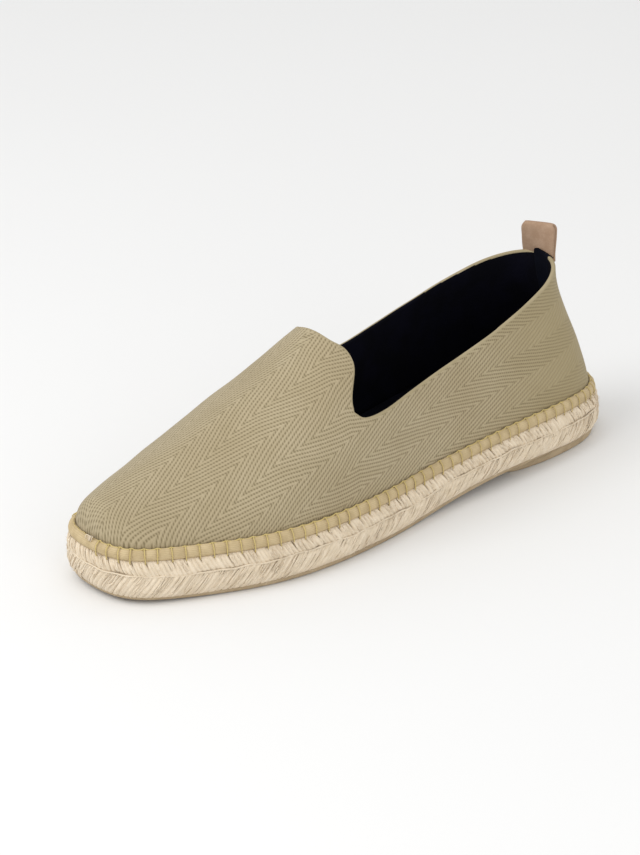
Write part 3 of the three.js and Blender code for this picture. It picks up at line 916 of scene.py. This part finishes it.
def lift_loop(inset, z):
    """Level loop round the heel lift, which follows the sole and has a straight front with round corners."""
    k = np.linspace(0, 1, 61)
    t = LIFT_BREAST * (1 - np.cos(np.pi / 2 * k))
    inset = inset + (LIFT_INSET[1] - LIFT_INSET[0]) * ease(t, 0.05, 0.19)
    outer_x, outer_y = outline_at(t, 1, inset)
    inner_x, inner_y = outline_at(t, -1, inset)
    a = np.pi / 2 * np.arange(1, 41) / 40
    across = np.maximum(np.cos(a), 0) ** 0.13
    ahead = LENGTH * (LIFT_END - LIFT_BREAST) * np.sin(a) ** 0.9
    middle, wide = (outer_x[-1] + inner_x[-1]) / 2, (outer_x[-1] - inner_x[-1]) / 2
    outer = np.c_[np.r_[outer_x, middle + wide * across], np.r_[outer_y, outer_y[-1] - ahead]]
    inner = np.c_[np.r_[inner_x, middle - wide * across], np.r_[inner_y, inner_y[-1] - ahead]]
    loop = np.concatenate([outer, inner[1:-1][::-1]])
    return np.c_[loop, np.full(len(loop), z)]


def build_heel_lift():
    edge = LIFT_INSET[0]
    levels = [(edge + 0.6, 0.0), (edge + 0.15, 0.35), (edge, 0.9), (edge, HEEL_LIFT - 0.05)]
    loops = [lift_loop(inset, z) for inset, z in levels]
    piece = stacked("rubber_heel_lift", loops, RUBBER)
    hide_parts("heel_lift")


# ---------------------------------------------------------------- jute
# share of the jute's height at which its two rows of strands meet
SPINE = 0.64
# how far a strand leans round the shoe over the height of its row, mm
UPPER_LEAN, LOWER_LEAN = 3.2, -9.0
STITCH = 6.1
N_STITCH = int(round(GIRTH / STITCH))
JUTE_COLUMNS, JUTE_ROWS = 2300, 38
STRANDS, FIBRES = 1300, 1200
# how far the plait hangs below the jute's own lower edge: share of the length, mm
sag = table([
    (0, 4.4), (0.08, 4.1), (0.14, 3), (0.22, 1.8), (0.35, 1.1), (0.55, 1.1), (0.75, 1.1), (0.9, 1.7), (1, 2),
])


def spine_line(d):
    """Share of the height at which the two rows meet, which wanders a little with the distance round."""
    return SPINE + 0.012 * np.sin(d / 6.7) + 0.014 * np.sin(d / 17.3 + 1) + 0.01 * np.sin(d / 3.1 + 2)


def jute_side(distance, h, out):
    """Point on the jute's side at a distance round it, a share of its height, and mm out from it."""
    x, y = outline_at_step(around(distance), jute_edge(np.clip(h, 0, 1)) - out)
    t = share(y)
    low = np.maximum(jute_bottom(t) - sag(t), 0.5)
    return np.stack([x, y, low + (jute_top(t) - low) * h], -1)


def jute_normal(distance, h):
    a, b = jute_side(distance, h, 0), jute_side(distance, h, 1.0)
    low = jute_side(distance, np.maximum(h - 0.06, 0), 0)
    high = jute_side(distance, np.minimum(h + 0.06, 1), 0)
    up, out = normalise(high - low), normalise(b - a)
    return normalise(out - up * (out * up).sum(-1, keepdims=True))


def stitch_cuts():
    """Strand edges of the upper row, three to a stitch, with how deep each one is cut."""
    at, depth = [], []
    for place in np.arange(N_STITCH) * GIRTH / N_STITCH + UPPER_LEAN * 0.15:
        at.append(place + RNG.normal(0, 0.25))
        at.append(place + STITCH * RNG.uniform(0.3, 0.42))
        at.append(place + STITCH * RNG.uniform(0.6, 0.74))
        depth += [RNG.uniform(0.55, 1.15), RNG.uniform(0.1, 0.4), RNG.uniform(0.1, 0.4)]
    at = np.array(at) % GIRTH
    order = np.argsort(at)
    return at[order], np.array(depth)[order]


def loose_cuts(narrow, wide):
    """Strand edges of the lower row, at uneven spacing, with how deep each one is cut."""
    at = np.cumsum(RNG.uniform(narrow, wide, int(GIRTH / narrow) + 2))
    at = at[at < GIRTH - narrow] * GIRTH / (GIRTH - (narrow + wide) / 2)
    at = at[at < GIRTH - 0.4 * narrow]
    depth = RNG.uniform(0.16, 0.42, len(at))
    deep = RNG.random(len(at)) < 0.16
    depth[deep] = RNG.uniform(0.55, 0.95, deep.sum())
    return at, depth


def strand_relief(c, run, at, depth, centre, reach):
    """Height of the strands and depth of the cuts between them: c round the shoe, run along the strand."""
    n = len(at)
    k = np.searchsorted(at, c % GIRTH, side="right") - 1
    left, right = at[k % n] - GIRTH * (k < 0), at[(k + 1) % n] + GIRTH * (k + 1 >= n)
    wide = right - left
    f = ((c % GIRTH) - left) / wide
    rise = RNG.normal(0, 0.11, n)[k % n]
    bulge = 0.5 * np.minimum(wide / 2.4, 1.2) * (1 - (2 * f - 1) ** 2)
    cut = np.zeros_like(c)
    for edge, far in ((k % n, f * wide), ((k + 1) % n, (1 - f) * wide)):
        window = np.exp(-(((run - centre[edge]) / reach[edge]) ** 2))
        cut = np.maximum(cut, depth[edge] * window * np.exp(-((far / 0.38) ** 2)))
    return rise + bulge, cut


def corner_values(field):
    """A field's values at the four corners of each face of a grid that closes on itself."""
    after = np.roll(field, -1, 1)
    return np.stack([field[:-1], after[:-1], after[1:], field[1:]], -1)


def build_plait():
    """Side of the plait: slanting strands in two rows that meet in a point, on one closed body."""
    cols, rows = JUTE_COLUMNS, JUTE_ROWS
    d = np.arange(cols) * GIRTH / cols
    dd, hh = np.meshgrid(d, np.linspace(0, 1, rows))
    line = spine_line(dd)
    high, low = np.clip((hh - line) / (1 - line), 0, 1), np.clip((line - hh) / line, 0, 1)
    c_up, c_low = dd + UPPER_LEAN * (1 - high), dd + LOWER_LEAN * low

    at, depth = stitch_cuts()
    deep, n = depth > 0.5, len(at)
    centre = np.where(deep, RNG.uniform(0.75, 1.0, n), RNG.uniform(0.2, 0.8, n))
    reach = np.where(deep, RNG.uniform(0.3, 0.75, n), RNG.uniform(0.5, 1.2, n))
    rise_up, cut_up = strand_relief(c_up, high, at, depth, centre, reach)
    at, depth = loose_cuts(1.5, 3.1)
    centre, reach = RNG.uniform(0.0, 0.9, len(at)), RNG.uniform(0.35, 1.0, len(at))
    rise_low, cut_low = strand_relief(c_low, low, at, depth, centre, reach)
    length_share = share(outline_y(around(dd)))
    cut_low = cut_low * ease(length_share, -0.5, 0.6)

    is_up = hh > line
    out = np.where(is_up, rise_up - cut_up, rise_low - cut_low)
    cut = np.where(is_up, cut_up, 0.6 * cut_low)
    broken = 0.55 + 0.45 * np.sin(dd / 9.3) * np.sin(dd / 4.1 + 1)
    seam = broken * np.exp(-(((hh - line) * 17 / 0.75) ** 2))
    out -= 0.75 * seam
    cut = np.maximum(cut, 0.75 * seam)
    lump = 0.3 * np.sin(dd / 11.0 + 2 * hh) + 0.22 * np.sin(dd / 4.6 - 3 * hh + 1) * np.sin(dd / 23)
    heel = 1 - ease(length_share, 0.04, 0.2)
    lump += heel * (0.5 * np.sin(dd / 5.5 + 4 * hh) - 0.3)
    fade = ease(hh, 0, 0.08) * (1 - ease(hh, 0.93, 1.0) * 0.6)
    points = jute_side(dd, hh, (out + 0.7 * lump) * fade - 0.45)

    # u runs round the shoe and v along each row's strands
    in_upper = is_up[:-1, :, None]
    u = np.where(in_upper, corner_values(c_up), corner_values(c_low))
    u[:, -1, 1:3] += GIRTH
    v = np.where(in_upper, corner_values(high) * 7, 40 + corner_values(low) * 14)
    sheet = Sheet()
    sheet.add(points.reshape(-1, 3), grid_faces(rows, cols, wrap_cols=True), np.stack([u / 5, v], -1))

    # flat underside and top, closed to a ring well inside
    x, y = outline_at_step(around(d), 8.0)
    k = np.arange(cols)
    for row, z, below in ((0, jute_bottom(share(y)), True), (rows - 1, jute_top(share(y)) - 0.05, False)):
        start = sheet.count
        sheet.add(np.stack([x, y, z], -1))
        ring = ring_faces(row * cols + k, start + k)
        sheet.add_faces((ring[:, ::-1] if below else ring).tolist())
        sheet.add_faces(lid_faces(cols, start, below))
    piece = sheet.make("jute_plait", [JUTE])
    # depth of the cuts and of the groove at the point, which the jute's colour uses to paint shade into them
    cavity_shade = piece.data.attributes.new("cavity_shade", "FLOAT", "POINT")
    values = np.zeros(sheet.count)
    values[:rows * cols] = np.clip(cut / 0.9, 0, 1).ravel()
    cavity_shade.data.foreach_set("value", values)
    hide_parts("jute_sole")


def build_strands():
    """Loose strands that lie on the plait, following its slant."""
    sheet = Sheet()
    k = np.linspace(0, 1, 7)
    taper = 0.35 + 0.65 * np.sin(np.pi * k) ** 0.5
    for _ in range(STRANDS):
        upper_row = RNG.random() < 0.4
        start = RNG.uniform(0, GIRTH)
        if upper_row:
            h0 = RNG.uniform(SPINE + 0.02, 0.93)
            h1 = min(h0 + RNG.uniform(0.12, 0.33), 0.99)
            slant = UPPER_LEAN / (1 - SPINE)
        else:
            h0 = RNG.uniform(0.02, SPINE - 0.1)
            h1 = min(h0 + RNG.uniform(0.15, 0.5), SPINE + 0.02)
            slant = LOWER_LEAN / SPINE
        hs = h0 + (h1 - h0) * k
        ds = start + slant * (hs - h0) + RNG.normal(0, 0.25) * np.sin(np.pi * k) + RNG.normal(0, 0.3) * k
        thick = RNG.uniform(0.16, 0.4) * taper
        lift = -0.1 + RNG.uniform(-0.1, 0.3) + 0.12 * np.sin(np.pi * k) - 0.45 * (np.abs(2 * k - 1) ** 6)
        add_tube(sheet, jute_side(ds, hs, lift), jute_normal(ds, hs), thick, 0.7 * thick, 6)
    sheet.make("jute_strands", [JUTE])


def build_binding_line():
    """Thin twisted line along the point of the plait."""
    sheet = Sheet()
    d = np.linspace(0, GIRTH, 900, endpoint=False)
    line = spine_line(d)
    path = jute_side(d, line + 0.01 * np.sin(d / 1.9), -0.25 + 0.3 * np.sin(d / 5.1) * np.sin(d / 13.0))
    add_closed_cord(sheet, path, jute_normal(d, line), 0.42)
    sheet.make("jute_binding_line", [JUTE])


def build_fuzz():
    """Loose fibres that stand out of the jute."""
    sheet = Sheet()
    k = np.linspace(0, 1, 5)
    thick = 0.07 * (1 - 0.6 * k)
    for _ in range(FIBRES):
        d, h = RNG.uniform(0, GIRTH), RNG.uniform(0.02, 1.0)
        run = RNG.uniform(1.5, 5.0)
        lean, rise = RNG.normal(0, 0.8), RNG.normal(0, 0.06)
        lift = RNG.uniform(0.3, 1.3)
        ds, hs = d + lean * k * run, np.clip(h + rise * k * run / 3, 0, 1)
        path = jute_side(ds, hs, 0.1 + lift * k**1.4)
        add_tube(sheet, path, jute_normal(ds, hs), thick, thick, 3)
    sheet.make("jute_fuzz", [JUTE])


# ---------------------------------------------------------------- rand and its blanket stitch
# how far up the jute's edge, and how far in, the rand's section runs, outer face first
RAND_SECTION = [
    (0.1, 2.6), (0.3, 1.9), (1.2, 1.5), (2.4, 1.4), (3.5, 1.65), (4.3, 2.15),
    (4.9, 2.8), (5.2, 3.5), (5.1, 4.05), (4.5, 4.25), (0.3, 4.25),
]
# the same for the upright leg of a stitch, top first
STITCH_LEG = [
    (5.3, 3.9), (5.35, 3.2), (4.8, 2.4), (3.8, 1.6), (2.4, 1.3), (0.9, 1.3), (-0.4, 1.35), (-1.3, 1.9),
]
# the seam ends by the toe's inner corner: its last stitches run under the tape there, mm round the shoe
SEAM_END = (326, 356)
KNOT_AT = 329


def under_tape(distance):
    """1 where the stitches run under the tape, 0 elsewhere."""
    d = np.asarray(distance, float) % GIRTH
    return ease(d, SEAM_END[0] - 3, SEAM_END[0]) * (1 - ease(d, SEAM_END[1], SEAM_END[1] + 3))


def outwards(distance, rise):
    """Direction away from the shoe, tilted up."""
    x0, y0 = outline_at_step(around(distance), 0.0)
    x1, y1 = outline_at_step(around(distance), -1.0)
    return normalise(np.stack([x1 - x0, y1 - y0, np.full(np.shape(x0), rise)], -1))


def stitch_phase(distance):
    """0 at a stitch, up to a half between two."""
    return np.abs((distance / GIRTH * N_STITCH + 0.5) % 1 - 0.5)


def rand_point(distance, up, inset):
    step = around(distance)
    toe_bulge = 0.7 * ease(share(outline_y(step)), 0.93, 0.99) * np.clip((4 - inset) / 2.5, 0, 1)
    x, y = outline_at_step(step, inset - toe_bulge)
    return np.stack([x, y, jute_top(share(y)) + up], -1)


def build_rand():
    n = N_STITCH * 10
    d = np.linspace(0, GIRTH, n, endpoint=False)
    sewn = 1 - under_tape(d)
    pinch = sewn * np.exp(-((stitch_phase(d)) / 0.12) ** 2)
    puff = -0.3 * sewn * np.cos(2 * np.pi * stitch_phase(d))
    wander = 0.2 * np.sin(d / 19.0) + 0.14 * np.sin(d / 7.3 + 1)
    rings = []
    for up, inset in RAND_SECTION:
        face = float(ease(up, 0.2, 2.0)) if inset < 4.1 else 0.0
        higher = (wander * 0.6 - 0.25 * pinch) * face
        deeper = (0.3 * pinch + 0.12 - 0.5 * puff - wander * 0.2) * face
        rings.append(rand_point(d, up + higher, inset + deeper))
    rows = len(rings)
    r, c = np.meshgrid(np.arange(rows), np.arange(n), indexing="ij")
    after = np.r_[d[1:], GIRTH]
    sides = np.diff(np.array(RAND_SECTION + RAND_SECTION[:1]), axis=0)
    run = np.r_[0, np.cumsum(np.hypot(*sides.T))]
    u = np.stack([run[r], run[r], run[r + 1], run[r + 1]], -1).reshape(-1, 4)
    v = np.stack([d[c], after[c], after[c], d[c]], -1).reshape(-1, 4)
    sheet = Sheet()
    faces = grid_faces(rows, n, wrap_cols=True, wrap_rows=True, flip=True)
    sheet.add(np.concatenate(rings), faces, np.stack([u, v], -1)[:, ::-1])
    piece = sheet.make("cotton_rand", [TAPE])
    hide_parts("rand")


def build_stitches():
    """Upright legs of the blanket stitch, then the thread that runs along the top from leg to leg."""
    sheet = Sheet()
    m = len(STITCH_LEG)
    for k in range(N_STITCH):
        here = k * GIRTH / N_STITCH
        slant = RNG.normal(0, 0.25)
        if under_tape(here) > 0.5:
            continue
        path = [
            rand_point(here + slant * i / m, up, inset + 0.05)
            for i, (up, inset) in enumerate(STITCH_LEG)
        ]
        path = np.concatenate(path).reshape(-1, 3)
        out = np.tile(outwards(here, 0.35), (m, 1))
        thick = 0.17 + 0.1 * float(ease(share(outline_y(around(here))), 0.15, 0.6))
        add_tube(sheet, path, out, thick, thick, 6)
    d = np.linspace(0, GIRTH, N_STITCH * 8, endpoint=False)
    sag = np.sin(np.pi * ((d / GIRTH * N_STITCH) % 1))
    path = rand_point(d, 5.35 - 0.5 * sag, 3.8 - 0.45 * sag)
    add_closed_cord(sheet, path, outwards(d, 0.6), 0.3 - 0.15 * under_tape(d))
    sheet.make("blanket_stitch", [THREAD])


def build_thread_end():
    """The thread's tied and frayed end."""
    sheet = Sheet()
    k = np.linspace(0, 1, 7)
    for _ in range(9):
        turn, wide, tall = RNG.uniform(-0.5, 0.5), RNG.uniform(-2.6, 2.6), RNG.uniform(0.5, 1.9)
        d = KNOT_AT + turn + wide * np.sin(2.2 * k)
        path = rand_point(d, 4.9 + tall * np.sin(np.pi * k) - 0.6 * k, 3.5 - 1.6 * k)
        thick = RNG.uniform(0.26, 0.42) * (1 - 0.6 * k)
        add_tube(sheet, path, outwards(d, 0.6), thick, thick, 5)
    sheet.make("thread_end", [JUTE])


# ---------------------------------------------------------------- heel tab and heel tape
TAB_WIDTH, TAB_HEIGHT, TAB_LEATHER = 16.6, 14.0, 1.3
# turn of the tab about the upright at its foot and at its top, degrees
TAB_TURN = (14.0, 26.0)
# how far the tab's foot stands sideways from the back seam
TAB_ASIDE = -1.7
TAPE_HALF_WIDTH, TAPE_THICK = 5.2, 0.35
# path of the folded strip: how far it stands out from the tab's middle in mm, share of the tab's height
TAB_PATH = [
    (-0.4, -0.07), (-0.7, 0.0), (-1.05, 0.25), (-1.25, 0.65), (-1.25, 0.85), (-0.85, 0.97),
    (0, 1), (0.85, 0.97), (1.25, 0.85), (1.25, 0.65), (1.1, 0.25), (1.05, 0), (1.4, -0.3),
]


def tab_turn(up):
    """Cosine and sine of the tab's turn about the upright, at a share of its height."""
    turn = math.radians(TAB_TURN[0] + (TAB_TURN[1] - TAB_TURN[0]) * min(max(up, 0.0), 1.0))
    return math.cos(turn), math.sin(turn)


def turned(centre, cosine, sine, aside, ahead, z):
    """Points at height z, with places aside and ahead of a centre turned about the upright."""
    x = centre[0] + aside * cosine - ahead * sine
    y = centre[1] + aside * sine + ahead * cosine
    return np.stack([x, y, z], -1)


def section_places(n):
    """Places from -1 to 1 across a strip and back again, and the face each one is on, 1 or -1."""
    x = np.linspace(-1, 1, n)
    return np.r_[x, x[::-1]], np.repeat([1, -1], n)


def make_strip(name, loops, material):
    """Closed strip from sections of equal count, with a face over each end."""
    loops = np.array(loops)
    n, m = loops.shape[:2]
    sheet = Sheet()
    sheet.add(loops.reshape(-1, 3), grid_faces(n, m, wrap_cols=True))
    sheet.add_faces([list(range(m))[::-1], list(range((n - 1) * m, n * m))])
    return sheet.make(name, [material])


def tab_foot():
    """Middle of the tab's foot, on top of the rolled collar edge."""
    top = last_point(np.array(0.0), 1, edge_up(np.array(0.0), 1))
    return np.array([top[0] + TAB_ASIDE, top[1] - WALL / 2, top[2] + EDGE_ROLL + GAP])


def build_tab():
    """Leather strip folded over at the top, whose foot curves with the collar."""
    centre = tab_foot()
    k = np.linspace(0, len(TAB_PATH) - 1, 73)
    across = smooth(range(len(TAB_PATH)), [r[0] for r in TAB_PATH])(k)
    up = smooth(range(len(TAB_PATH)), [r[1] for r in TAB_PATH])(k)
    path = np.stack([across, up * (TAB_HEIGHT - TAB_LEATHER / 2)], -1)
    along = normalise(np.gradient(path, axis=0))
    out = np.stack([-along[:, 1], along[:, 0]], -1)
    x, face = section_places(21)
    thick = TAB_LEATHER / 2 * (1 - 0.4 * np.abs(x) ** 8)
    loops = []
    for h, start, normal in zip(up, path, out):
        half = TAB_WIDTH / 2 - 1.3 * max(0.0, (h - 0.75) / 0.25) ** 3
        bend = max(0.0, 1 - h / 0.5)
        aside = x * half - 0.6 * bend
        ahead = start[0] + normal[0] * thick * face + 0.2 * np.sin(2.0 * x + 0.6) * max(h, 0)
        z = centre[2] + start[1] + normal[1] * thick * face - bend * 0.012 * aside**2
        loops.append(turned(centre, *tab_turn(h), aside, ahead + bend * 0.007 * aside**2, z))
    piece = make_strip("leather_pull_tab", loops, LEATHER)
    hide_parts("pull_tab")


def build_heel_tape(seam_points, seam_normals):
    """Navy tape over the back seam inside; its end is cut slanting and stands above the collar."""
    spine = seam_points[4:] - seam_normals[4:] * (WALL + 0.35)
    spine[:, 0] += 2.2
    top = spine[-1] + np.array([[0.2, -0.1, 1.0], [0.4, 0, 2.0], [0.6, 0.1, 2.9], [0.8, 0.2, 3.7]])
    path = np.concatenate([spine, top])
    x, face = section_places(13)
    drop = 1.6 * (x + 1) ** 1.2 + 5 * np.maximum(0, -x - 0.6) ** 2
    loops = []
    for i, place in enumerate(path):
        above = max(0.0, (i - len(spine) + 1) / 4)
        cosine, sine = tab_turn(0.2 * above)
        aside = x * TAPE_HALF_WIDTH
        ahead = -0.022 * aside**2 * (1 - 0.5 * above) - face * TAPE_THICK * (1 - 0.5 * np.abs(x) ** 8)
        z = place[2] - above * drop
        loops.append(turned(place, 1 + (cosine - 1) * above, sine * above, aside, ahead, z))
    make_strip("heel_tape", loops, HEEL_TAPE)


# ---------------------------------------------------------------- build
seam_points, seam_normals = build_upper()
build_sole()
build_heel_lift()
build_plait()
build_strands()
build_binding_line()
build_fuzz()
build_rand()
build_stitches()
build_thread_end()
build_tab()
build_heel_tape(seam_points, seam_normals)


# ---------------------------------------------------------------- floor and light
def build_floor():
    mesh = bpy.data.meshes.new("floor")
    a = np.linspace(0, 2 * np.pi, 64, endpoint=False)
    verts = [(2.6 * math.cos(q), 2.6 * math.sin(q), -0.0002) for q in a]
    mesh.from_pydata(verts, [], [list(range(64))])
    n = Nodes("pale_floor", (0.86, 0.86, 0.855), 0.9)
    place = n.node("ShaderNodeTexCoord", output=3)
    n.color(n.mix(n.noise(place, 3.0), (0.83, 0.83, 0.825), (0.81, 0.81, 0.805)))
    mesh.materials.append(n.material)
    floor = bpy.data.objects.new("floor", mesh)
    bpy.context.scene.collection.objects.link(floor)


def area_light(name, azimuth, elevation, distance, size, watts):
    data = bpy.data.lights.new(name, "AREA")
    data.shape = "DISK"
    data.size = size
    data.energy = watts
    lamp = bpy.data.objects.new(name, data)
    back = direction(azimuth, elevation)
    lamp.location = back * distance + Vector((0, 0, 0.04))
    lamp.rotation_mode = "QUATERNION"
    lamp.rotation_quaternion = back.to_track_quat("Z", "Y")
    bpy.context.scene.collection.objects.link(lamp)


build_floor()
area_light("key", -15, 48, 1.4, 1.0, 8)
area_light("fill", 74, 20, 1.6, 1.2, 4)
world = bpy.data.worlds.new("world")
world.use_nodes = True
world.node_tree.nodes["Background"].inputs["Color"].default_value = (1, 1, 1, 1)
world.node_tree.nodes["Background"].inputs["Strength"].default_value = 0.86
bpy.context.scene.world = world
bpy.context.scene.view_settings.view_transform = "Standard"
